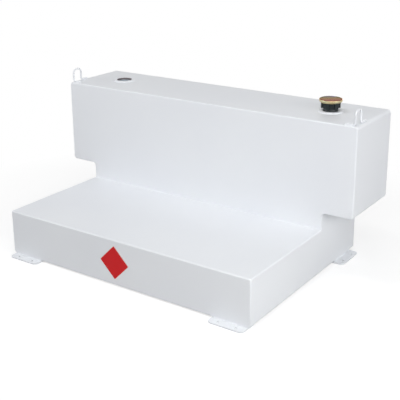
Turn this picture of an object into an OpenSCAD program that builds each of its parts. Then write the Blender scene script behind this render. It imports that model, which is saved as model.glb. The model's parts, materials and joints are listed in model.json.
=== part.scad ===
// Truck bed transfer tank: a T-shaped upper box over a wide low box, all folded steel sheet.
// X runs across the truck, the low deck faces -Y, and Z = 0 is the underside of the feet.

/* [Upper box] */
// Width across both overhangs
upper_w = 1435; // [1300:5:1600]
// Depth of the upper box, front to back
upper_d = 320; // [260:5:400]
// Height from the tank's underside to its top
tank_h = 627; // [520:1:720]
// Height of the overhangs' underside above the tank's underside
overhang_h = 258; // [240:1:290]

/* [Lower box] */
// Width of the lower box, between the wheel wells
lower_w = 1175; // [1050:5:1230]
// Depth of the lower box, front to back
lower_d = 850; // [700:5:1000]
// Height of the deck above the tank's underside
deck_h = 190; // [150:1:205]

/* [Sheet metal] */
// Thickness of the sheet
sheet = 2; // [1.5:0.1:3]
// Outer radius of the wraps' folds and of the panels' corners
fold_r = 14; // [10:1:20]
// Outer radius round the edges of the flanged sheets
edge_r = 6; // [4:0.5:9]
// Depth of the flange round the flanged sheets
flange_d = 20; // [12:1:30]
// Height of the wrap's skirt below the fold under each overhang
skirt_h = 20; // [10:1:24]

/* [Baffles] */
// Distance of each baffle from the middle
baffle_x = 240; // [150:5:400]
// Diameter of the flow holes
flow_d = 76; // [50:1:90]
// Radius of the flow notches at the baffle's corners
notch_r = 30; // [24:1:40]
// Height of the lowest flow holes' centres above the floor
flow_z = 95; // [80:1:100]
// Spacing of the flow holes up the tall part
flow_rise = 170; // [140:5:190]
// Spacing of the flow holes along the low part
flow_step = 220; // [150:5:260]

/* [Ports] */
// Distance of each port from the tank's end
port_inset = 190.5; // [160:0.5:300]
// Distance of both ports from the rear sheet
port_back = 158; // [110:1:180]
// Outer diameter of the weld-in flange
bung_d = 97; // [90:1:110]
// Height of the flange above the top sheet
bung_t = 5; // [4:0.5:8]
// Diameter of the hub that passes through the sheet
hub_d = 76; // [72:1:82]
// Depth of the hub below the flange
hub_h = 24; // [18:1:32]
// Diameter of the threaded bore
bore_d = 58; // [50:0.5:60]
// Diameter of the countersunk mouth
mouth_d = 69; // [62:0.5:70]
// Depth of the countersink
mouth_h = 5; // [3:0.5:8]
// Chamfer round the flange's upper edge
bung_edge = 1.7; // [0.5:0.1:2.5]
// Clearance of the hub in the sheet's hole
hub_gap = 0.25; // [0.1:0.05:0.5]

/* [Fill neck and cap] */
// Radial clearance between mating threads
thread_gap = 0.1; // [0.05:0.05:0.2]
// Depth that the neck reaches into the bung
neck_sink = 18; // [12:1:22]
// Height of the plain collar above the bung
collar_h = 10; // [6:1:14]
// Height of the neck's rim above the bung
neck_h = 30; // [26:1:40]
// Outer diameter of the neck's cap thread
neck_d = 54; // [48:0.5:56]
// Diameter of the way through the neck
neck_bore = 44; // [36:1:45]
// Gap that the cap's skirt keeps to the collar and to the cover's lip
skirt_gap = 0.5; // [0.3:0.1:1]
// Thickness of the cap's gasket
gasket_t = 3.2; // [2:0.1:4]
// Outer diameter of the cap's skirt
grip_d = 66; // [60:1:69]
// Diameter across the grip lugs
lug_d = 77; // [71:1:80]
// Width of a grip lug
lug_w = 16; // [10:1:20]
// Number of grip lugs
lug_count = 6; // [4:1:8]
// Angle of the first grip lug, in degrees
lug_turn = 35; // [0:5:60]
// Number of flutes between two lugs
flute_count = 3; // [1:2:5]
// Diameter of a grip flute
flute_d = 3; // [2:0.5:4]
// Depth of a grip flute
flute_in = 0.8; // [0.4:0.1:1.2]
// Angle between neighbouring flutes, in degrees
flute_step = 5.5; // [5:0.5:6]
// Thickness of the cap's web
web_t = 2.8; // [2:0.1:4]
// Outer diameter of the stamped cover
cover_d = 92; // [88:1:96]
// Height of the stamped cover
cover_h = 15; // [14:0.5:18]
// Sheet thickness of the stamped cover
cover_t = 1.2; // [0.8:0.1:1.5]
// Radius of the cover's upper edge
cover_top_r = 3; // [2:0.5:4]
// Radius of the cover's rolled lower edge
cover_curl_r = 10; // [8:0.5:11]
// Diameter of the shallow dish in the cover's top
dish_d = 80; // [60:1:82]
// Depth of the dish
dish_h = 1; // [0.5:0.1:1.5]

/* [Vent] */
// Diameter of the poppet
poppet_d = 22; // [18:0.5:26]
// Thickness of the poppet
poppet_t = 2; // [1.5:0.1:3]
// Diameter of the poppet's stem
stem_d = 5; // [4:0.5:6]
// Length of the stem below the web
stem_out = 6; // [3:0.5:9]
// Radial clearance of the stem in its guide
stem_gap = 0.1; // [0.05:0.05:0.1]
// Diameter of the vent holes
vent_d = 3.5; // [2:0.5:4]
// Number of vent holes
vent_count = 4; // [3:1:6]
// Radius of the circle that the vent holes lie on
vent_ring = 6.5; // [5.5:0.5:7]
// Height of the seat under the poppet
seat_t = 1; // [0.5:0.1:1.5]
// Width of the seat
seat_w = 1.5; // [1:0.1:2]
// Wire diameter of the spring
wire_d = 1; // [0.8:0.1:1.1]
// Mean diameter of the spring
spring_d = 13; // [11:0.5:16]
// Turns of the spring
spring_turns = 2.5; // [2:0.5:3]

/* [Lifting eyes] */
// Diameter of the bent rod
rod_d = 8; // [6:0.5:12]
// Height of an eye above the top sheet
eye_h = 61; // [50:1:90]
// Distance between the centres of an eye's legs
eye_span = 48; // [36:1:60]
// Distance of an eye from the tank's end
eye_inset = 15; // [14:1:30]
// Distance of an eye's front leg behind the front sheet
eye_front = 10.5; // [8:0.5:40]
// Centre-line radius of the bends above an eye's feet
eye_bend_r = 10; // [8:1:14]
// Centre-line radius of the bends at an eye's top
eye_top_r = 17; // [12:1:23]
// Length of an eye's feet from the leg's centre
eye_foot = 38; // [25:1:60]

/* [Feet] */
// Width of a foot along the tank
foot_w = 152; // [100:1:200]
// Reach of a foot beyond the tank
foot_out = 38; // [30:1:60]
// Length of a foot under the tank
foot_lap = 40; // [30:1:60]
// Thickness of a foot
foot_t = 5; // [4:0.5:8]
// Radius of a foot's outer corners
foot_r = 20; // [5:1:25]
// Diameter of the bolt holes
bolt_d = 11; // [9:0.5:14]
// Spacing of a foot's two bolt holes
bolt_span = 76; // [60:1:90]
// Distance of the bolt holes from the foot's outer edge
bolt_edge = 18; // [14:1:22]
// Distance of a front foot from the lower box's side
foot_side = 10; // [0:1:100]
// Distance of a rear foot from the rear sheet
foot_back = 34; // [20:1:100]

/* [Decal] */
// Side of the diamond before it is turned on its point
decal_w = 102; // [80:1:110]
// Corner radius of the diamond
decal_r = 4; // [2:0.5:8]
// Thickness of the film
decal_t = 0.3; // [0.2:0.1:0.5]
// Place of the diamond across the front
decal_x = -28; // [-400:1:400]

/* [Hidden] */
$fn = 64;
eps = 1;

half_u = upper_w / 2;
half_l = lower_w / 2;
rear_y = (lower_d + foot_out) / 2;
front_y = rear_y - lower_d;
upper_y = rear_y - upper_d;
base_z = foot_t;
top_z = base_z + tank_h;
deck_d = lower_d - upper_d;
port_x = half_u - port_inset;
port_y = rear_y - port_back;
seat_z = top_z + bung_t;
wall_top = overhang_h - fold_r - skirt_h;

cover_z = neck_h + gasket_t - cover_t;
web_z = neck_h + gasket_t;
curl_x = cover_d / 2 - cover_curl_r;
lip_x = grip_d / 2 + skirt_gap;
poppet_z = web_z + web_t + seat_t;
ceiling_z = cover_z + cover_h - cover_t - dish_h;

white = [0.93, 0.94, 0.95];
black = [0.1, 0.1, 0.11];
zinc = [0.72, 0.5, 0.25];
steel = [0.6, 0.62, 0.64];

// Quarter of a ring, turned from the first quadrant
module quarter_ring(outer, wall, turn) {
    rotate(turn) intersection() {
        difference() {
            circle(outer);
            circle(outer - wall);
        }
        square(outer);
    }
}

// Section through a flanged edge: distance from the edge runs along x, depth along y
module edge_section(reach) {
    if (reach > edge_r) translate([edge_r, 0]) square([reach - edge_r, sheet]);
    translate([edge_r, edge_r]) quarter_ring(edge_r, sheet, 180);
    translate([0, edge_r]) square([sheet, flange_d - edge_r]);
}

function before(p, i) = p[(i + len(p) - 1) % len(p)];
function after(p, i) = p[(i + 1) % len(p)];
function heading(a, b) = atan2(b[1] - a[1], b[0] - a[0]);
function inward(a, b) = [-sin(heading(a, b)), cos(heading(a, b))];
function turns_left(p, i) =
    cross(p[i] - before(p, i), after(p, i) - p[i]) > 0;

// Sheet with flanged edges. Its outline runs anticlockwise, and radii gives each corner's radius.
// folded says which edge, from one point to the next, has a flange.
module flanged_sheet(outline, radii, folded) {
    last = len(outline) - 1;
    inset = [
        for (i = [0:last])
            let (a = before(outline, i), p = outline[i], b = after(outline, i))
                p + fold_r * (before(folded, i) * inward(a, p) + folded[i] * inward(p, b))
    ];
    linear_extrude(sheet) polygon(inset);
    for (i = [0:last]) {
        p = outline[i];
        q = after(outline, i);
        run = norm(q - p) - radii[i] - after(radii, i);
        if (folded[i] > 0)
            translate(p) rotate(heading(p, q)) translate([radii[i], 0, 0])
                rotate([90, 0, 90]) linear_extrude(run) edge_section(fold_r);
        if (radii[i] > 0)
            translate(p) rotate(heading(before(outline, i), p))
                if (turns_left(outline, i)) outer_corner(radii[i]);
                else inner_corner(radii[i]);
    }
}

// Rounded corner that sticks out, at the end of an edge along +X
module outer_corner(r) {
    translate([-r, r]) rotate(-90) rotate_extrude(angle = 90) intersection() {
        square([r, flange_d]);
        translate([r, 0]) mirror([1, 0]) edge_section(r);
    }
}

// Rounded corner that is cut into the sheet, at the end of an edge along +X
module inner_corner(r) {
    translate([-r, -r]) {
        rotate_extrude(angle = 90) translate([r, 0]) edge_section(fold_r);
        linear_extrude(sheet) difference() {
            square(r + fold_r);
            circle(r + (edge_r + fold_r) / 2);
        }
    }
}

// Stands a sheet up with its height along Z and its depth along +Y, from the plane y
module facing_front(y) {
    translate([0, y, base_z]) rotate([90, 0, 180]) children();
}

// The same with its depth along -Y
module facing_rear(y) {
    translate([0, y, base_z]) rotate([90, 0, 0]) children();
}

module upper_front_panel() {
    color(white) facing_front(upper_y)
        flanged_sheet(
            [
                [-half_l, deck_h], [half_l, deck_h], [half_l, overhang_h], [half_u, overhang_h],
                [half_u, tank_h], [-half_u, tank_h], [-half_u, overhang_h], [-half_l, overhang_h]
            ],
            [0, 0, fold_r, fold_r, fold_r, fold_r, fold_r, fold_r],
            [0, 1, 1, 1, 1, 1, 1, 1]
        );
}

module rear_panel() {
    color(white) facing_rear(rear_y)
        flanged_sheet(
            [
                [-half_l, 0], [half_l, 0], [half_l, overhang_h], [half_u, overhang_h],
                [half_u, tank_h], [-half_u, tank_h], [-half_u, overhang_h], [-half_l, overhang_h]
            ],
            [for (i = [0:7]) fold_r],
            [for (i = [0:7]) 1]
        );
}

// Half of the upper wrap's section, from the middle of the top to the skirt on the right
module wrap_half() {
    translate([0, tank_h - sheet]) square([half_u - fold_r, sheet]);
    translate([half_u - fold_r, tank_h - fold_r]) quarter_ring(fold_r, sheet, 0);
    translate([half_u - sheet, overhang_h + fold_r])
        square([sheet, tank_h - overhang_h - 2 * fold_r]);
    translate([half_u - fold_r, overhang_h + fold_r]) quarter_ring(fold_r, sheet, 270);
    translate([half_l + fold_r, overhang_h])
        square([half_u - half_l - 2 * fold_r, sheet]);
    translate([half_l + fold_r, overhang_h - fold_r])
        quarter_ring(fold_r + sheet, sheet, 90);
    translate([half_l - sheet, wall_top]) square([sheet, skirt_h]);
}

module upper_wrap() {
    color(white) difference() {
        facing_front(upper_y) translate([0, 0, flange_d])
            linear_extrude(upper_d - 2 * flange_d) {
                wrap_half();
                mirror([1, 0]) wrap_half();
            }
        for (side = [-1, 1])
            translate([side * port_x, port_y, top_z - sheet - eps])
                cylinder(d = hub_d + 2 * hub_gap, h = sheet + 2 * eps);
    }
}

// Half of the deck's section: the deck and its fold down the right side
module deck_half() {
    translate([0, deck_h - sheet]) square([half_l - edge_r, sheet]);
    translate([half_l - edge_r, deck_h - edge_r]) quarter_ring(edge_r, sheet, 0);
    translate([half_l - sheet, deck_h - flange_d]) square([sheet, flange_d - edge_r]);
}

module deck_front_sheet() {
    color(white) facing_front(front_y) {
        flanged_sheet(
            [[-half_l, 0], [half_l, 0], [half_l, deck_h], [-half_l, deck_h]],
            [fold_r, fold_r, edge_r, edge_r],
            [1, 1, 1, 1]
        );
        translate([0, 0, flange_d]) linear_extrude(deck_d + sheet - flange_d) {
            deck_half();
            mirror([1, 0]) deck_half();
        }
    }
}

// Half of the tub's section: the floor, the fold and the side wall on the right
module tub_half() {
    square([half_l - fold_r, sheet]);
    translate([half_l - fold_r, fold_r]) quarter_ring(fold_r, sheet, 270);
    translate([half_l - sheet, fold_r]) square([sheet, wall_top - fold_r]);
}

module tub_wrap() {
    color(white) facing_front(front_y) difference() {
        translate([0, 0, flange_d]) linear_extrude(lower_d - 2 * flange_d) {
            tub_half();
            mirror([1, 0]) tub_half();
        }
        // The side walls step down under the deck's flange and under the upper front sheet
        translate([-half_l - eps, deck_h - flange_d, 0])
            cube([lower_w + 2 * eps, tank_h, deck_d + sheet]);
        translate([-half_l - eps, deck_h, 0])
            cube([lower_w + 2 * eps, tank_h, deck_d + flange_d]);
    }
}

// Baffle across the tank: depth from the front runs along x, height along y
module baffle_outline() {
    low = [sheet, sheet];
    far = [lower_d - sheet, tank_h - sheet];
    step = [deck_d + sheet, deck_h - sheet];
    difference() {
        union() {
            translate(low) square([far[0] - low[0], step[1] - low[1]]);
            translate([step[0], low[1]]) square([far[0] - step[0], far[1] - low[1]]);
        }
        for (corner = [low, [low[0], step[1]], [step[0], far[1]], far, [far[0], low[1]]])
            translate(corner) circle(notch_r);
        for (rise = [0:2]) translate([lower_d - upper_d / 2, flow_z + rise * flow_rise])
            circle(d = flow_d);
        for (i = [0:1]) translate([deck_d / 2 + (i - 0.5) * flow_step, flow_z])
            circle(d = flow_d);
    }
}

module baffle(side) {
    color(steel) translate([side * baffle_x - sheet / 2, front_y, base_z])
        rotate([90, 0, 90]) linear_extrude(sheet) baffle_outline();
}

// Flanged bung with a countersunk bore, its flange resting on the top sheet
module bung() {
    rotate_extrude() polygon([
        [bore_d / 2, bung_t - hub_h], [hub_d / 2, bung_t - hub_h], [hub_d / 2, 0],
        [bung_d / 2, 0], [bung_d / 2, bung_t - bung_edge], [bung_d / 2 - bung_edge, bung_t],
        [mouth_d / 2, bung_t], [bore_d / 2, bung_t - mouth_h]
    ]);
}

module pump_bung() {
    color(white) translate([-port_x, port_y, top_z]) bung();
}

module fill_bung() {
    color(white) translate([port_x, port_y, top_z]) bung();
}

// Puts a piece on the fill port's axis, with its zero height at the bung's upper face
module on_fill_port() {
    translate([port_x, port_y, seat_z]) children();
}

module fill_neck() {
    sink_r = bore_d / 2 - thread_gap;
    color(black) on_fill_port() rotate_extrude() polygon([
        [neck_bore / 2, -neck_sink], [sink_r, -neck_sink], [sink_r, collar_h],
        [neck_d / 2, collar_h], [neck_d / 2, neck_h], [neck_bore / 2, neck_h]
    ]);
}

module cap_gasket() {
    color(black) on_fill_port() translate([0, 0, neck_h]) difference() {
        cylinder(d = neck_d, h = gasket_t);
        translate([0, 0, -eps]) cylinder(d = neck_bore, h = gasket_t + 2 * eps);
    }
}

// Skirt with grip lugs, closed by a web that guides the vent's stem
module cap_body() {
    skirt_z = collar_h + skirt_gap;
    body_h = web_z - skirt_z;
    lug_h = cover_z - skirt_z - skirt_gap;
    color(black) on_fill_port() difference() {
        union() {
            translate([0, 0, skirt_z]) cylinder(d = grip_d, h = body_h);
            intersection() {
                translate([0, 0, skirt_z]) cylinder(d = lug_d, h = lug_h);
                union() for (i = [0:lug_count - 1])
                    rotate(lug_turn + i * 360 / lug_count)
                        translate([0, -lug_w / 2, skirt_z]) cube([lug_d, lug_w, lug_h]);
            }
            translate([0, 0, web_z]) cylinder(r = curl_x, h = web_t);
            translate([0, 0, web_z + web_t]) cylinder(d = poppet_d, h = seat_t);
        }
        translate([0, 0, skirt_z - eps])
            cylinder(r = neck_d / 2 + thread_gap, h = body_h + eps);
        translate([0, 0, web_z + web_t])
            cylinder(r = poppet_d / 2 - seat_w, h = seat_t + eps);
        translate([0, 0, web_z - eps])
            cylinder(r = stem_d / 2 + stem_gap, h = web_t + 2 * eps);
        for (i = [0:vent_count - 1]) rotate(i * 360 / vent_count)
            translate([vent_ring, 0, web_z - eps]) cylinder(d = vent_d, h = web_t + 2 * eps);
        for (i = [0:lug_count - 1], k = [0:flute_count - 1])
            rotate(lug_turn + (i + 0.5) * 360 / lug_count + (k - (flute_count - 1) / 2) * flute_step)
                translate([(grip_d + flute_d) / 2 - flute_in, 0, skirt_z - eps])
                    cylinder(d = flute_d, h = lug_h + eps);
    }
}

// Stamped cover with a dished top and a rolled lower edge under the cap's web
module cap_cover() {
    top = cover_z + cover_h;
    wall_x = cover_d / 2 - cover_t;
    dish_x = dish_d / 2;
    color(zinc) on_fill_port() rotate_extrude() {
        polygon([
            [0, top - dish_h - cover_t], [dish_x - dish_h, top - dish_h - cover_t],
            [dish_x, top - cover_t], [cover_d / 2 - cover_top_r, top - cover_t],
            [cover_d / 2 - cover_top_r, top], [dish_x, top],
            [dish_x - dish_h, top - dish_h], [0, top - dish_h]
        ]);
        translate([cover_d / 2 - cover_top_r, top - cover_top_r])
            quarter_ring(cover_top_r, cover_t, 0);
        translate([wall_x, cover_z + cover_curl_r])
            square([cover_t, cover_h - cover_top_r - cover_curl_r]);
        translate([curl_x, cover_z + cover_curl_r])
            quarter_ring(cover_curl_r, cover_t, 270);
        translate([lip_x, cover_z]) square([curl_x - lip_x, cover_t]);
    }
}

module vent_valve() {
    color(steel) on_fill_port() {
        translate([0, 0, poppet_z]) cylinder(d = poppet_d, h = poppet_t);
        translate([0, 0, web_z - stem_out])
            cylinder(d = stem_d, h = poppet_z - web_z + stem_out);
    }
}

// Coil spring between the poppet and the cover, swept along its helix
module vent_spring() {
    sides = 8;
    steps = 20 * spring_turns;
    low = poppet_z + poppet_t + wire_d / 2;
    rise = ceiling_z - wire_d / 2 - low;
    points = [
        for (i = [0:steps])
            let (t = 360 * spring_turns * i / steps)
                for (k = [0:sides - 1])
                    let (a = 360 * k / sides, r = spring_d / 2 + wire_d / 2 * cos(a))
                        [r * cos(t), r * sin(t), low + rise * i / steps + wire_d / 2 * sin(a)]
    ];
    faces = [
        for (i = [0:steps - 1])
            for (k = [0:sides - 1])
                let (a = i * sides + k, b = i * sides + (k + 1) % sides)
                    [a, b, b + sides, a + sides]
    ];
    first = [for (k = [sides - 1:-1:0]) k];
    last = [for (k = [0:sides - 1]) steps * sides + k];
    color(steel) on_fill_port() polyhedron(points, concat(faces, [first, last]));
}

// Quarter bend of the rod, round the origin from the +X side to the +Y side
module rod_bend(r) {
    rotate_extrude(angle = 90) translate([r, 0]) circle(d = rod_d);
}

// Lifting eye on the right: the front foot points inward and the rear foot backward
module lifting_eye() {
    leg_z = rod_d / 2 + eye_bend_r;
    crown_z = eye_h - rod_d / 2;
    turn_z = crown_z - eye_top_r;
    foot_run = eye_foot - eye_bend_r;
    translate([half_u - eye_inset, upper_y + eye_front, top_z]) {
        translate([-eye_foot, 0, rod_d / 2]) rotate([0, 90, 0]) cylinder(d = rod_d, h = foot_run);
        translate([-eye_bend_r, 0, leg_z]) rotate([90, 0, 0]) rotate(270) rod_bend(eye_bend_r);
        for (y = [0, eye_span])
            translate([0, y, leg_z]) cylinder(d = rod_d, h = turn_z - leg_z);
        translate([0, eye_top_r, turn_z]) rotate([90, 0, 90]) rotate(90) rod_bend(eye_top_r);
        translate([0, eye_top_r, crown_z]) rotate([-90, 0, 0])
            cylinder(d = rod_d, h = eye_span - 2 * eye_top_r);
        translate([0, eye_span - eye_top_r, turn_z]) rotate([90, 0, 90]) rod_bend(eye_top_r);
        translate([0, eye_span + eye_bend_r, leg_z]) rotate([90, 0, 90]) rotate(180)
            rod_bend(eye_bend_r);
        translate([0, eye_span + eye_bend_r, rod_d / 2]) rotate([-90, 0, 0])
            cylinder(d = rod_d, h = foot_run);
    }
}

module lifting_eye_right() {
    color(white) lifting_eye();
}

module lifting_eye_left() {
    color(white) mirror([1, 0, 0]) lifting_eye();
}

// Foot that reaches out along -Y from the origin and laps under the tank along +Y
module foot() {
    linear_extrude(foot_t) difference() {
        union() {
            translate([-foot_w / 2, foot_r - foot_out]) square([foot_w, foot_out + foot_lap - foot_r]);
            translate([foot_r - foot_w / 2, -foot_out]) square([foot_w - 2 * foot_r, foot_r]);
            for (side = [-1, 1])
                translate([side * (foot_w / 2 - foot_r), foot_r - foot_out]) circle(foot_r);
        }
        for (side = [-1, 1])
            translate([side * bolt_span / 2, bolt_edge - foot_out]) circle(d = bolt_d);
    }
}

module front_foot(side) {
    color(white) translate([side * (half_l - foot_side - foot_w / 2), front_y, 0]) foot();
}

module rear_foot(side) {
    color(white) translate([side * half_l, rear_y - foot_back - foot_w / 2, 0])
        rotate(side * 90) foot();
}

// Diamond of film on the lower front face
module decal() {
    inner = decal_w / 2 - decal_r;
    color("firebrick") translate([decal_x, front_y, base_z + deck_h / 2])
        rotate([90, 45, 0]) linear_extrude(decal_t) {
            square([decal_w, 2 * inner], center = true);
            square([2 * inner, decal_w], center = true);
            for (x = [-inner, inner], y = [-inner, inner]) translate([x, y]) circle(decal_r);
        }
}

upper_front_panel();
upper_wrap();
rear_panel();
deck_front_sheet();
tub_wrap();
baffle(-1);  // baffle_left
baffle(1);  // baffle_right
pump_bung();
fill_bung();
fill_neck();
cap_gasket();
cap_body();
cap_cover();
vent_valve();
vent_spring();
lifting_eye_left();
lifting_eye_right();
front_foot(-1);  // foot_front_left
front_foot(1);  // foot_front_right
rear_foot(-1);  // foot_rear_left
rear_foot(1);  // foot_rear_right
decal();
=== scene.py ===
import json
import math
import random

import bmesh
import bpy
from mathutils import Matrix, Vector

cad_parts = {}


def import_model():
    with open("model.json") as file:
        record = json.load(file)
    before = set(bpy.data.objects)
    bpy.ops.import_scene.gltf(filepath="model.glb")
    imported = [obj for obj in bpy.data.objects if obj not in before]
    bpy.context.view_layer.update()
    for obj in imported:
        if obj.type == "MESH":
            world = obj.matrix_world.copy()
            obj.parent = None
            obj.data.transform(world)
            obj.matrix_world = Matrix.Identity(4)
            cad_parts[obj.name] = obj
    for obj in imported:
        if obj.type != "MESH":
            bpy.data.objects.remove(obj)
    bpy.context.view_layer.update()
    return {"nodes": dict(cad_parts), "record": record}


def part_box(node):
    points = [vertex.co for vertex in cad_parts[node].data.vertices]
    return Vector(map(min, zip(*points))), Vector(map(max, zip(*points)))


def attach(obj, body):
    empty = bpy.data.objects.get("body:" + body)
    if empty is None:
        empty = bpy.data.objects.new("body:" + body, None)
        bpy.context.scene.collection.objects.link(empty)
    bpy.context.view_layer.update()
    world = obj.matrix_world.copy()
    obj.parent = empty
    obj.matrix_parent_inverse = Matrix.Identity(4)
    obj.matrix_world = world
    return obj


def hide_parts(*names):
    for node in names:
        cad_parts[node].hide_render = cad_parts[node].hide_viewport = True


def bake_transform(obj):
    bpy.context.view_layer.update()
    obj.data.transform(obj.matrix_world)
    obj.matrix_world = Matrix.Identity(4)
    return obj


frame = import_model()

TANK_BODY = "tank"
UP = Vector((0, 0, 1))

# Camera, fitted to the photograph's corners. Its pan and distance count from the middle of the rear
# sheet's lower edge.
IMAGE_PX = 400
FOCAL_PX = 823.6
SENSOR_MM = 36
CAMERA_AZIMUTH = math.radians(34.85)
CAMERA_ELEVATION = math.radians(17.76)
CAMERA_ROLL = math.radians(-0.42)
CAMERA_PAN = (-0.1767, 0.2755)
CAMERA_DISTANCE = 3.856
CAMERA_CLIP = (0.05, 100)
OPTICAL_AXIS_PX_ABOVE_MIDDLE = 40

# Room. Lamps are given by name, place, size in metres and power in watts, and all face LAMP_TARGET.
FLOOR_HALF = 14.0
FLOOR_COLOUR = (0.50, 0.50, 0.50)
FLOOR_MOTTLE = 1.03
FLOOR_GLOW = 0.60
FLOOR_FADE_FROM, FLOOR_FADE_TO = 0.75, 1.6
WORLD_COLOUR = (0.94, 0.96, 1.0)
WORLD_STRENGTH = 0.10
LAMP_TARGET = (0, 0, 0.3)
LAMPS = [
    ("front_high", (1.8, -3.0, 3.2), (2.4, 1.8), 40.1),
    ("front_left", (-3.4, -2.4, 1.6), (2.4, 1.8), 59.1),
    ("above", (0.2, 0.0, 3.6), (2.6, 2.0), 20.4),
    ("above_left", (-0.9, -0.9, 3.9), (0.5, 0.5), 20.0),
    ("right", (4.0, -0.6, 1.4), (2.0, 1.6), 52.0),
    ("near_right", (2.2, -1.8, 1.3), (1.4, 1.2), 22.7),
    ("behind", (0.0, 2.6, 3.0), (2.6, 1.6), 8.0),
    ("rear_low", (0.0, 4.0, 0.38), (2.0, 0.5), 40.0),
]

# Looks. Most values of a noise lie within its spread.
NOISE_SPREAD = (0.3, 0.7)
# The plating's bands follow one another across the cap's cover in this direction, which points
# toward the camera, so the bands are a painted iridescent sheen over the plating's own colours. Its
# side has normals that point up by less than the first share, and its top by more than the second;
# the top is painted darker than the side as painted shade.
SHEEN_BAND_DIRECTION = (0.57, -0.82, 0.0)
BAND_WOBBLE = 0.3
COVER_SIDE_Z, COVER_TOP_Z = 0.15, 0.6
# The bore's painted shade holds down to the first share of the thread's depth and gives way to the
# paler grey by the second.
THREAD_SHADE_TO, THREAD_COOL_FROM = 0.2, 0.4  # shares of the thread's depth

# Weld beads
BEAD_PITCH = 0.0024
RINGS_PER_RIPPLE = 4
BEAD_SIDES = 10
BEAD_FLATNESS = 0.8
BEAD_SWELL = 0.06
RIPPLE_DEPTH = 0.10
BEAD_TIP = 0.35  # an open bead's radius at its ends, as a share
BEAD_TIP_RIPPLES = 1.5

# Facets of round pieces
RING_SIDES = 96
LATHE_SIDES = 128
THREAD_STEPS = 10  # rows of points per turn


def node(name):
    return frame["nodes"][name]


def mount(name):
    """Place, radius and length of one of the record's round mounts, in metres."""
    found = [m for m in frame["record"]["mounts"] if m["name"] == name][0]
    dims = found["dims"]
    return Vector(found["pos_m"]), dims["r_mm"] / 1000, dims["length_mm"] / 1000


def box_middle(low, high):
    return (low + high) / 2


def add_object(name, data):
    made = bpy.data.objects.new(name, data)
    bpy.context.scene.collection.objects.link(made)
    return made


# Materials


class Nodes:
    """A small wrapper that makes and links a material's shader nodes."""

    def __init__(self, name):
        self.material = bpy.data.materials.new(name)
        self.material.use_nodes = True
        self.tree = self.material.node_tree
        self.tree.nodes.clear()
        self.output = self.add("ShaderNodeOutputMaterial")
        self.shader = self.add("ShaderNodeBsdfPrincipled")
        self.link(self.shader.outputs["BSDF"], self.output.inputs["Surface"])
        self.place = self.add("ShaderNodeTexCoord").outputs["Object"]

    def add(self, kind, **values):
        made = self.tree.nodes.new(kind)
        for key, value in values.items():
            setattr(made, key, value)
        return made

    def link(self, out, into):
        self.tree.links.new(out, into)

    def set(self, **values):
        """Constant values on the shader's own sockets."""
        for key, value in values.items():
            self.shader.inputs[key.replace("_", " ")].default_value = value

    def operate(self, kind, operation, *values):
        """A math node whose inputs are outputs of other nodes or constants."""
        made = self.add(kind, operation=operation)
        for value, socket in zip(values, made.inputs):
            if isinstance(value, bpy.types.NodeSocket):
                self.link(value, socket)
            else:
                socket.default_value = value
        return made

    def axis(self, vector, name):
        """One coordinate of a vector."""
        parts = self.add("ShaderNodeSeparateXYZ")
        self.link(vector, parts.inputs["Vector"])
        return parts.outputs[name]

    def stretched(self, scale):
        """Object coordinates scaled differently along each axis."""
        mapping = self.add("ShaderNodeMapping")
        mapping.inputs["Scale"].default_value = scale
        self.link(self.place, mapping.inputs["Vector"])
        return mapping.outputs["Vector"]

    def noise(self, scale, detail=2.0, roughness=0.5, vector=None, distortion=0.0):
        texture = self.add("ShaderNodeTexNoise")
        texture.inputs["Scale"].default_value = scale
        texture.inputs["Detail"].default_value = detail
        texture.inputs["Roughness"].default_value = roughness
        texture.inputs["Distortion"].default_value = distortion
        self.link(vector or self.place, texture.inputs["Vector"])
        return texture.outputs["Fac"]

    def ramp(self, value, stops):
        """Colour ramp; stops is a list of (position, colour)."""
        made = self.add("ShaderNodeValToRGB")
        elements = made.color_ramp.elements
        while len(elements) < len(stops):
            elements.new(0.5)
        for element, (position, colour) in zip(elements, stops):
            element.position = position
            element.color = (*colour, 1)
        self.link(value, made.inputs["Fac"])
        return made.outputs["Color"]

    def span(self, value, from_low, from_high, low, high):
        """Maps a value from one range to another, held inside the second."""
        made = self.add("ShaderNodeMapRange")
        limits = {"From Min": from_low, "From Max": from_high, "To Min": low, "To Max": high}
        for key, number in limits.items():
            made.inputs[key].default_value = number
        self.link(value, made.inputs["Value"])
        return made.outputs["Result"]

    def mix(self, share, first, second):
        made = self.add("ShaderNodeMix", data_type="RGBA")
        self.link(share, made.inputs["Factor"])
        for value, socket in ((first, made.inputs["A"]), (second, made.inputs["B"])):
            if isinstance(value, tuple):
                socket.default_value = (*value, 1)
            else:
                self.link(value, socket)
        return made.outputs["Result"]

    def colour(self, out):
        self.link(out, self.shader.inputs["Base Color"])

    def roughness(self, noise, low, high):
        """Roughness from low to high across a noise's spread."""
        self.link(self.span(noise, *NOISE_SPREAD, low, high), self.shader.inputs["Roughness"])

    def bump(self, *layers):
        """Stacks bumps; each layer is (height, distance in metres, strength)."""
        normal = None
        for height, distance, strength in layers:
            made = self.add("ShaderNodeBump")
            made.inputs["Distance"].default_value = distance
            made.inputs["Strength"].default_value = strength
            self.link(height, made.inputs["Height"])
            if normal:
                self.link(normal, made.inputs["Normal"])
            normal = made.outputs["Normal"]
        self.link(normal, self.shader.inputs["Normal"])


def powder_coat():
    """Glossy white powder coat: orange peel over the faint waves of a thin sheet."""
    n = Nodes("powder_coat")
    tint = n.noise(2.2, detail=3)
    n.colour(n.ramp(tint, [(0.3, (0.80, 0.82, 0.855)), (0.7, (0.83, 0.85, 0.875))]))
    n.roughness(n.noise(1.6, detail=1), 0.45, 0.48)
    waves = n.noise(3.5, detail=1)
    peel = n.noise(330, detail=2, roughness=0.6)
    n.bump((waves, 0.0012, 0.5), (peel, 0.000008, 0.6))
    n.set(Specular_IOR_Level=0.5)
    return n.material


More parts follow.
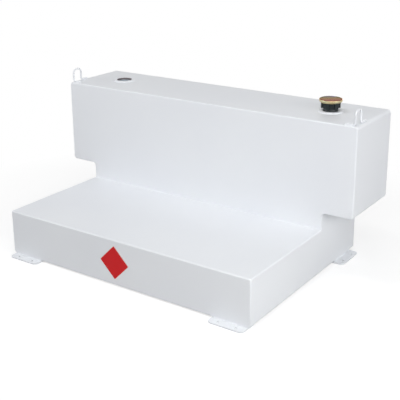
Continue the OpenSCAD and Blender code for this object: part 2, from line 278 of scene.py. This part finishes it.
def bare_steel():
    """Uncoated sheet with the fine lines of the rolling mill."""
    n = Nodes("bare_steel")
    lines = n.noise(60, detail=4, vector=n.stretched((1, 1, 22)))
    blotches = n.noise(9, detail=3)
    n.colour(n.mix(blotches, (0.36, 0.37, 0.38), (0.50, 0.51, 0.52)))
    n.roughness(lines, 0.38, 0.56)
    n.bump((lines, 0.0001, 0.35))
    n.set(Metallic=1.0)
    return n.material


def black_plastic():
    """Moulded black plastic with a fine spark-eroded grain."""
    n = Nodes("black_plastic")
    grain = n.noise(1400, detail=2)
    n.colour(n.mix(n.noise(40, detail=2), (0.007, 0.011, 0.012), (0.012, 0.019, 0.020)))
    n.roughness(grain, 0.34, 0.5)
    n.bump((grain, 0.00006, 0.5))
    n.set(Specular_IOR_Level=0.3)
    return n.material


def seal_rubber():
    """Dull black rubber."""
    n = Nodes("seal_rubber")
    grain = n.noise(900, detail=3)
    n.colour(n.mix(n.noise(60), (0.012, 0.012, 0.012), (0.022, 0.021, 0.020)))
    n.roughness(grain, 0.62, 0.8)
    n.bump((grain, 0.00005, 0.4))
    return n.material


def yellow_zinc():
    """Yellow zinc: bands of violet, olive and dull red across the cover's top, pale gold below. The
    bands run toward the camera as a painted iridescent sheen, and the top's darkness against the
    pale side is painted shade set by which way the surface faces.
    """
    low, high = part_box("cap_cover")
    centre, radius = box_middle(low, high), (high.x - low.x) / 2
    n = Nodes("yellow_zinc")
    upward = n.axis(n.add("ShaderNodeNewGeometry").outputs["Normal"], "Z")
    # Painted iridescent sheen: the bands are laid along the line toward the camera.
    offset = n.operate("ShaderNodeVectorMath", "SUBTRACT", n.place, centre)
    direction = tuple(c / radius for c in SHEEN_BAND_DIRECTION)
    toward_camera = n.operate("ShaderNodeVectorMath", "DOT_PRODUCT", offset.outputs["Vector"], direction)
    film = n.noise(26, detail=3, roughness=0.55, distortion=1.4)
    wobble = n.span(film, 0.2, 0.8, -BAND_WOBBLE, BAND_WOBBLE)
    shifted = n.operate("ShaderNodeMath", "ADD", toward_camera.outputs["Value"], wobble)
    top = n.ramp(n.span(shifted.outputs["Value"], -1, 1, 0, 1), [
        (0.0, (0.11, 0.10, 0.18)), (0.3, (0.09, 0.11, 0.04)), (0.5, (0.15, 0.08, 0.01)),
        (0.72, (0.14, 0.03, 0.02)), (1.0, (0.16, 0.04, 0.03)),
    ])
    side = n.ramp(film, [
        (0.35, (0.55, 0.45, 0.24)), (0.5, (0.70, 0.62, 0.37)), (0.65, (0.50, 0.50, 0.33)),
    ])
    # Painted shade: dark bands on the top and pale gold on the side, chosen by which way the
    # surface faces.
    n.colour(n.mix(n.span(upward, COVER_SIDE_Z, COVER_TOP_Z, 1, 0), top, side))
    n.roughness(n.noise(300, detail=3), 0.24, 0.38)
    n.bump((n.noise(700, detail=2), 0.00003, 0.4))
    n.set(Metallic=1.0, Specular_Tint=(1.0, 0.82, 0.72, 1))
    return n.material


def bright_steel():
    """Bright drawn or turned steel."""
    n = Nodes("bright_steel")
    lines = n.noise(700, detail=3, vector=n.stretched((1, 1, 6)))
    n.colour(n.mix(n.noise(120), (0.52, 0.54, 0.56), (0.64, 0.65, 0.66)))
    n.roughness(lines, 0.2, 0.34)
    n.bump((lines, 0.00003, 0.35))
    n.set(Metallic=1.0)
    return n.material


def red_film():
    """Glossy printed vinyl, very slightly uneven over the paint."""
    n = Nodes("red_film")
    ink = n.noise(90, detail=3)
    n.colour(n.mix(ink, (0.66, 0.008, 0.011), (0.60, 0.010, 0.013)))
    n.roughness(n.noise(12, detail=2), 0.44, 0.5)
    n.bump((n.noise(14, detail=1), 0.0002, 0.25), (n.noise(700, detail=2), 0.000006, 0.4))
    n.set(Specular_IOR_Level=0.2)
    return n.material


def pale_film():
    """The film's unprinted edge."""
    n = Nodes("pale_film")
    n.colour(n.mix(n.noise(120, detail=2), (0.80, 0.78, 0.73), (0.86, 0.84, 0.80)))
    n.roughness(n.noise(260), 0.24, 0.34)
    n.bump((n.noise(150, detail=2), 0.00006, 0.3))
    return n.material


def thread_steel_and_shade(rim_z, depth):
    """Bare cut threads: dark brown and violet near the mouth, painted shade of the bore's wall,
    then cooler and greyer further down.
    """
    n = Nodes("thread_steel_and_shade")
    height = n.axis(n.place, "Z")
    mottle = n.noise(230, detail=3)
    # Painted shade: very dark brown and violet near the mouth stand in for the shade inside the
    # bore.
    painted_shade = n.ramp(mottle, [
        (0.35, (0.05, 0.04, 0.05)), (0.5, (0.13, 0.10, 0.105)), (0.65, (0.09, 0.09, 0.11)),
    ])
    cool = n.ramp(mottle, [(0.35, (0.50, 0.57, 0.62)), (0.65, (0.66, 0.73, 0.78))])
    down = n.span(
        height, rim_z - THREAD_SHADE_TO * depth, rim_z - THREAD_COOL_FROM * depth, 0, 1
    )
    n.colour(n.mix(down, painted_shade, cool))
    n.roughness(n.noise(500, detail=2), 0.3, 0.5)
    n.bump((mottle, 0.0001, 0.4))
    n.set(Metallic=0.6)
    return n.material


WHITE = powder_coat()
BLACK = black_plastic()


# Meshes


def add_piece(name, mesh, material, body=TANK_BODY, slot=None):
    piece = add_object(name, mesh)
    mesh.materials.append(material)
    mesh.shade_smooth()
    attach(piece, body)
    return piece


def around_axis(centre, radius, share, z):
    """The point on a level circle that lies a share of a turn from the X axis."""
    a = 2 * math.pi * share
    return centre[0] + radius * math.cos(a), centre[1] + radius * math.sin(a), z


def skin(bm, first, second):
    """Joins two closed rows of vertices with a strip of faces."""
    for k in range(len(first)):
        j = (k + 1) % len(first)
        bm.faces.new((first[k], first[j], second[j], second[k]))


def closed_mesh(bm, name):
    """Turns a closed shape into a mesh whose faces all look outwards."""
    bmesh.ops.recalc_face_normals(bm, faces=bm.faces)
    mesh = bpy.data.meshes.new(name)
    bm.to_mesh(mesh)
    bm.free()
    return mesh


def mesh_of_rings(name, rings, closed_run):
    """Skins a list of rings of points. A run that isn't closed gets a cap at each end."""
    bm = bmesh.new()
    made = [[bm.verts.new(p) for p in ring] for ring in rings]
    count = len(made)
    for i in range(count if closed_run else count - 1):
        skin(bm, made[i], made[(i + 1) % count])
    if not closed_run:
        bm.faces.new(list(reversed(made[0])))
        bm.faces.new(made[-1])
    return closed_mesh(bm, name)


def resampled(points, step, closed):
    """Points at an even step along a polyline."""
    corners = [Vector(p) for p in points]
    if closed:
        corners.append(corners[0])
    lengths = [0.0]
    for a, b in zip(corners, corners[1:]):
        lengths.append(lengths[-1] + (b - a).length)
    total = lengths[-1]
    count = max(8, round(total / step))
    out = []
    at = 0
    for i in range(count if closed else count + 1):
        s = total * i / count
        while at < len(corners) - 2 and lengths[at + 1] < s:
            at += 1
        share = (s - lengths[at]) / (lengths[at + 1] - lengths[at])
        out.append(corners[at].lerp(corners[at + 1], share))
    return out


def weld_bead(name, points, radius, closed=False, seed=1):
    """A rippled weld bead along a level path, painted over with the tank."""
    rng = random.Random(seed)
    path = resampled(points, BEAD_PITCH / RINGS_PER_RIPPLE, closed)
    count = len(path)
    ripples = count // RINGS_PER_RIPPLE + 1
    swell = [1 + rng.uniform(-BEAD_SWELL, BEAD_SWELL) for _ in range(ripples)]
    rings = []
    for i, p in enumerate(path):
        before, after = path[i - 1], path[(i + 1) % count]
        if not closed:
            before, after = path[max(i - 1, 0)], path[min(i + 1, count - 1)]
        run = (after - before).normalized()
        side = run.cross(UP).normalized()
        phase = (i % RINGS_PER_RIPPLE) / RINGS_PER_RIPPLE
        ripple = 1 - RIPPLE_DEPTH + RIPPLE_DEPTH * math.sin(math.pi * phase)
        r = radius * swell[i // RINGS_PER_RIPPLE] * ripple
        if not closed:
            from_end = min(i, count - 1 - i) / (BEAD_TIP_RIPPLES * RINGS_PER_RIPPLE)
            r *= min(1, BEAD_TIP + (1 - BEAD_TIP) * from_end)
        ring = []
        for k in range(BEAD_SIDES):
            a = 2 * math.pi * k / BEAD_SIDES
            ring.append(
                p + side * (r * math.cos(a)) + UP * (BEAD_FLATNESS * r * math.sin(a))
            )
        rings.append(ring)
    return add_piece(name, mesh_of_rings(name, rings, closed), WHITE, slot="powder_coat")


def threaded_ring(
    name, centre, low, high, plain_r, root_r, crest_r, pitch, runout, material, **kind
):
    """A ring with a helical thread on one face and a plain face on the other.

    The threaded face runs between root_r and crest_r. Over runout at each end the thread fades
    into its root.
    """
    flat_crest = 1.25  # above 1 it cuts the tips of the teeth flat
    steps = max(8, round((high - low) / pitch * THREAD_STEPS))
    bm = bmesh.new()
    threaded = []
    for i in range(steps + 1):
        z = low + (high - low) * i / steps
        fade = max(0.0, min(1.0, (z - low) / runout, (high - z) / runout))
        row = []
        for k in range(RING_SIDES):
            turn = (z - low) / pitch - k / RING_SIDES
            tooth = min(1, flat_crest * (1 - abs(2 * (turn % 1) - 1)))
            r = root_r + (crest_r - root_r) * tooth * fade
            row.append(bm.verts.new(around_axis(centre, r, k / RING_SIDES, z)))
        threaded.append(row)
    bottom, top = [
        [
            bm.verts.new(around_axis(centre, plain_r, k / RING_SIDES, z))
            for k in range(RING_SIDES)
        ]
        for z in (low, high)
    ]
    rows = [bottom, *threaded, top]
    for first, second in zip(rows, rows[1:] + rows[:1]):
        skin(bm, first, second)
    return add_piece(name, closed_mesh(bm, name), material, **kind)


def lathe(name, centre, outline, material, **kind):
    """Turns a closed outline of (radius, height) points round a vertical axis."""
    rings = [
        [around_axis(centre, r, i / LATHE_SIDES, z) for r, z in outline]
        for i in range(LATHE_SIDES)
    ]
    return add_piece(name, mesh_of_rings(name, rings, closed_run=True), material, **kind)


# Dressing of each sub-part


def paint_cad_nodes():
    """Gives each CAD node the finish of its material slot."""
    finish = {
        "powder_coat": WHITE, "bare_steel": bare_steel(), "black_plastic": BLACK,
        "seal_rubber": seal_rubber(), "yellow_zinc": yellow_zinc(),
        "bright_steel": bright_steel(), "red_film": red_film(),
    }
    for part in frame["record"]["subparts"]:
        cad = node(part["node"])
        for slot in cad.material_slots:
            slot.material = finish[part["material_slot"]]


def vent_coil():
    """A fixed copy of the vent's spring in place of its CAD node; on the tank the spring shortens
    between the cap and the valve as the valve lifts, which this copy does not.
    """
    piece = add_object("vent_coil", node("vent_spring").data.copy())
    piece.data.shade_smooth()
    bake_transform(piece)
    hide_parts("vent_spring")


def bung_welds():
    """A bead round each bung's flange."""
    radius = 0.0022
    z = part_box("upper_wrap")[1].z + 0.25 * radius
    for name, seed in (("pump_bung", 3), ("fill_bung", 4)):
        low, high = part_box(name)
        ring_r = (high.x - low.x) / 2 + 0.2 * radius
        path = [
            around_axis(box_middle(low, high), ring_r, i / RING_SIDES, z)
            for i in range(RING_SIDES)
        ]
        weld_bead(name + "_weld", path, radius, True, seed)


def eye_welds():
    """A bead round each of an eye's two feet, from one side of the rod round its end."""
    rod_r = 0.004
    leg_span = 0.048
    bend = 0.012
    radius = 0.0026
    off = rod_r * 0.95
    tip = 0.0015
    for side, sign in (("left", -1), ("right", 1)):
        low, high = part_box("lifting_eye_" + side)
        leg_x = sign * (max(abs(low.x), abs(high.x)) - rod_r)
        bend_x = leg_x - sign * bend
        end_x = leg_x - sign * (high.x - low.x - rod_r) - sign * tip
        front_y = low.y + rod_r
        bend_y = front_y + leg_span + bend
        end_y = high.y + tip
        z = low.z + 0.3 * radius
        front = [
            (bend_x, front_y - off, z), (end_x, front_y - off, z),
            (end_x, front_y + off, z), (bend_x, front_y + off, z),
        ]
        rear = [
            (leg_x - off, bend_y, z), (leg_x - off, end_y, z),
            (leg_x + off, end_y, z), (leg_x + off, bend_y, z),
        ]
        weld_bead("eye_front_weld_" + side, front, radius, seed=11 + sign)
        weld_bead("eye_rear_weld_" + side, rear, radius, seed=21 + sign)


def foot_welds():
    """A bead along the edge where each foot passes under the tank."""
    end_gap = 0.006
    front_r, front_set_in, front_rise = 0.003, 0.0015, 0.0012
    rear_r, rear_set_in, rear_rise = 0.0045, 0.0055, 0.0025
    front_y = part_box("deck_front_sheet")[0].y
    side_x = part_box("tub_wrap")[1].x
    for side, sign in (("left", -1), ("right", 1)):
        low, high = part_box("foot_front_" + side)
        y, z = front_y + front_set_in, high.z + front_rise
        front = [(low.x + end_gap, y, z), (high.x - end_gap, y, z)]
        weld_bead("foot_front_weld_" + side, front, front_r, seed=31 + sign)
        low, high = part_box("foot_rear_" + side)
        x, z = sign * (side_x - rear_set_in), high.z + rear_rise
        rear = [(x, low.y + end_gap, z), (x, high.y - end_gap, z)]
        weld_bead("foot_rear_weld_" + side, rear, rear_r, seed=41 + sign)


def deck_seam():
    """Fine fillet weld where the deck meets the upper front sheet."""
    end_gap = 0.009
    radius, set_off, rise = 0.0018, 0.0004, 0.0003
    low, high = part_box("deck_front_sheet")
    y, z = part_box("upper_front_panel")[0].y - set_off, high.z + rise
    path = [(low.x + end_gap, y, z), (high.x - end_gap, y, z)]
    weld_bead("deck_seam_weld", path, radius, seed=51)


def pump_threads():
    """Cut thread in the open port's bore, in bare metal, with the bare countersink above it; both
    are painted dark near the mouth as the bore's shade.
    """
    plain_in, root_in, crest_in = 0.00005, 0.0003, 0.0016  # from the bore's wall inwards
    pitch, runout = 0.0022, 0.0012
    countersink = 0.0055
    lip_in, lip_rise = 0.0003, 0.0003  # of the mouth ring's skin at the bore
    edge_in, edge_rise = 0.0001, 0.0002  # and at its outer edge
    place, bore_r, length = mount("pump_port")
    low, high = place.z - length / 2, place.z + length / 2
    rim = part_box("pump_bung")[1].z
    # This material gives the threads and the countersink painted shade near the mouth.
    steel = thread_steel_and_shade(rim, rim - low)
    threaded_ring(
        "pump_port_thread", place, low, high, bore_r - plain_in, bore_r - root_in,
        bore_r - crest_in, pitch, runout, steel, slot="bright_steel",
    )
    mouth_r = bore_r + countersink
    mouth = [
        (bore_r, high), (mouth_r, rim), (mouth_r - edge_in, rim + edge_rise),
        (bore_r - lip_in, high + lip_rise),
    ]
    lathe("pump_port_mouth", place, mouth, steel, slot="bright_steel")


def neck_with_thread():
    """The neck, with the thread that the cap turns on."""
    bore_r = 0.022
    collar_height = 0.010
    chamfer = 0.0006
    crest_in = 0.0019  # from the collar's edge inwards
    wall_in, root_in, plain_in = 0.0016, 0.0017, 0.0024  # from the thread's crest inwards
    pitch, runout = 0.004, 0.002
    thread_gap_low, thread_gap_high = 0.0003, 0.001
    low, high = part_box("fill_neck")
    centre = box_middle(low, high)
    collar_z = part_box("fill_bung")[1].z + collar_height
    collar_r = (high.x - low.x) / 2
    crest_r = collar_r - crest_in
    wall_r = crest_r - wall_in
    outline = [
        (bore_r, low.z), (collar_r - chamfer, low.z), (collar_r, low.z + chamfer),
        (collar_r, collar_z - chamfer), (collar_r - chamfer, collar_z), (wall_r, collar_z),
        (wall_r, high.z - chamfer), (wall_r - chamfer, high.z),
        (bore_r + chamfer, high.z), (bore_r, high.z - chamfer),
    ]
    piece = lathe("fill_neck_body", centre, outline, BLACK, slot="black_plastic")
    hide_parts("fill_neck")
    threaded_ring(
        "fill_neck_thread", centre, collar_z + thread_gap_low, high.z - thread_gap_high,
        crest_r - plain_in, crest_r - root_in, crest_r, pitch, runout, BLACK,
        slot="black_plastic",
    )


def decal_border():
    """Thin pale line round the diamond's edge, printed on the same film."""
    corner_r = 0.004
    line_width = 0.0022
    thickness = 0.00006
    low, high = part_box("decal")
    centre = box_middle(low, high)
    half = (high.x - low.x) / 2
    bm = bmesh.new()
    back_outer, back_inner, front_outer, front_inner = [
        diamond_loop(bm, centre, half - inset, corner_r, y)
        for y in (low.y, low.y - thickness)
        for inset in (0.0, line_width)
    ]
    skin(bm, front_outer, front_inner)
    skin(bm, back_inner, back_outer)
    skin(bm, back_outer, front_outer)
    skin(bm, front_inner, back_inner)
    piece = add_piece("decal_border", closed_mesh(bm, "decal_border"), pale_film(), slot="red_film")
    piece.data.shade_flat()


def diamond_loop(bm, centre, half, corner_r, y):
    """A diamond's outline with rounded corners; half is from the middle to the corner's tip."""
    steps = 6
    reach = half - corner_r
    verts = []
    for quarter in range(4):
        direction = quarter * math.pi / 2
        corner_x = centre.x + reach * math.cos(direction)
        corner_z = centre.z + reach * math.sin(direction)
        for i in range(steps + 1):
            a = direction - math.pi / 4 + i * math.pi / 2 / steps
            verts.append(bm.verts.new((
                corner_x + corner_r * math.cos(a), y, corner_z + corner_r * math.sin(a),
            )))
    return verts


# Room, lamps and camera


def sees_background(tree):
    """An output that is 1 for the rays that see the plain background and 0 for the others."""
    ray = tree.nodes.new("ShaderNodeLightPath")
    highest = ray.outputs["Is Camera Ray"]
    for name in ("Is Glossy Ray", "Is Transmission Ray"):
        larger = tree.nodes.new("ShaderNodeMath")
        larger.operation = "MAXIMUM"
        tree.links.new(highest, larger.inputs[0])
        tree.links.new(ray.outputs[name], larger.inputs[1])
        highest = larger.outputs["Value"]
    return highest


def floor():
    """Pale floor that fades to the white background away from the object, and keeps its shadow."""
    bm = bmesh.new()
    bmesh.ops.create_grid(bm, x_segments=2, y_segments=2, size=FLOOR_HALF)
    mesh = bpy.data.meshes.new("floor")
    bm.to_mesh(mesh)
    bm.free()
    plane = add_object("floor", mesh)
    n = Nodes("floor")
    n.set(Roughness=0.9, Specular_IOR_Level=0.0)
    paler = tuple(FLOOR_MOTTLE * c for c in FLOOR_COLOUR)
    n.colour(n.ramp(n.noise(1.5), [(0.3, FLOOR_COLOUR), (0.7, paler)]))
    distance = n.operate("ShaderNodeVectorMath", "LENGTH", n.place)
    far = n.span(distance.outputs["Value"], FLOOR_FADE_FROM, FLOOR_FADE_TO, 0.0, 1.0)
    seen = sees_background(n.tree)
    glow = n.add("ShaderNodeEmission")
    n.link(n.span(seen, 0, 1, 0, FLOOR_GLOW), glow.inputs["Strength"])
    near_shader = n.add("ShaderNodeAddShader")
    n.link(n.shader.outputs["BSDF"], near_shader.inputs[0])
    n.link(glow.outputs["Emission"], near_shader.inputs[1])
    white = n.add("ShaderNodeEmission")
    white.inputs["Strength"].default_value = 1.0
    share = n.operate("ShaderNodeMath", "MULTIPLY", seen, far)
    mixed = n.add("ShaderNodeMixShader")
    n.link(share.outputs["Value"], mixed.inputs["Fac"])
    n.link(near_shader.outputs["Shader"], mixed.inputs[1])
    n.link(white.outputs["Emission"], mixed.inputs[2])
    n.link(mixed.outputs["Shader"], n.output.inputs["Surface"])
    mesh.materials.append(n.material)


def world():
    """Even studio light, which the camera and reflections see as plain white."""
    made = bpy.data.worlds.new("studio")
    made.use_nodes = True
    tree = made.node_tree
    tree.nodes.clear()
    output = tree.nodes.new("ShaderNodeOutputWorld")
    lit = tree.nodes.new("ShaderNodeBackground")
    lit.inputs["Color"].default_value = (*WORLD_COLOUR, 1)
    lit.inputs["Strength"].default_value = WORLD_STRENGTH
    seen = tree.nodes.new("ShaderNodeBackground")
    seen.inputs["Color"].default_value = (1, 1, 1, 1)
    seen.inputs["Strength"].default_value = 1.0
    mixed = tree.nodes.new("ShaderNodeMixShader")
    tree.links.new(sees_background(tree), mixed.inputs["Fac"])
    tree.links.new(lit.outputs["Background"], mixed.inputs[1])
    tree.links.new(seen.outputs["Background"], mixed.inputs[2])
    tree.links.new(mixed.outputs["Shader"], output.inputs["Surface"])
    bpy.context.scene.world = made


def lamp(name, place, size, power):
    data = bpy.data.lights.new(name, "AREA")
    data.shape = "RECTANGLE"
    data.size, data.size_y = size
    data.energy = power
    made = add_object(name, data)
    made.location = place
    made.rotation_mode = "QUATERNION"
    made.rotation_quaternion = (Vector(LAMP_TARGET) - Vector(place)).to_track_quat("-Z", "Y")


def camera():
    az, el = CAMERA_AZIMUTH, CAMERA_ELEVATION
    back = Vector((math.sin(az) * math.cos(el), -math.cos(az) * math.cos(el), math.sin(el)))
    level_right = (-back).cross(UP).normalized()
    level_up = level_right.cross(-back)
    right = math.cos(CAMERA_ROLL) * level_right + math.sin(CAMERA_ROLL) * level_up
    up = math.cos(CAMERA_ROLL) * level_up - math.sin(CAMERA_ROLL) * level_right
    rear_low, rear_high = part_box("rear_panel")
    target = Vector((0, rear_high.y, rear_low.z))
    data = bpy.data.cameras.new("camera")
    data.sensor_width = SENSOR_MM
    data.lens = FOCAL_PX * SENSOR_MM / IMAGE_PX
    data.shift_y = -OPTICAL_AXIS_PX_ABOVE_MIDDLE / IMAGE_PX
    data.clip_start, data.clip_end = CAMERA_CLIP
    made = add_object("camera", data)
    made.location = target + right * CAMERA_PAN[0] + up * CAMERA_PAN[1] + back * CAMERA_DISTANCE
    made.rotation_mode = "QUATERNION"
    axes = [right, up, back]
    turned = Matrix([[axis[i] for axis in axes] for i in range(3)])
    made.rotation_quaternion = turned.to_quaternion()
    bpy.context.scene.camera = made


paint_cad_nodes()
vent_coil()
bung_welds()
eye_welds()
foot_welds()
deck_seam()
pump_threads()
neck_with_thread()
decal_border()

floor()
world()
for settings in LAMPS:
    lamp(*settings)
camera()

scene = bpy.context.scene
scene.view_settings.view_transform = "Standard"
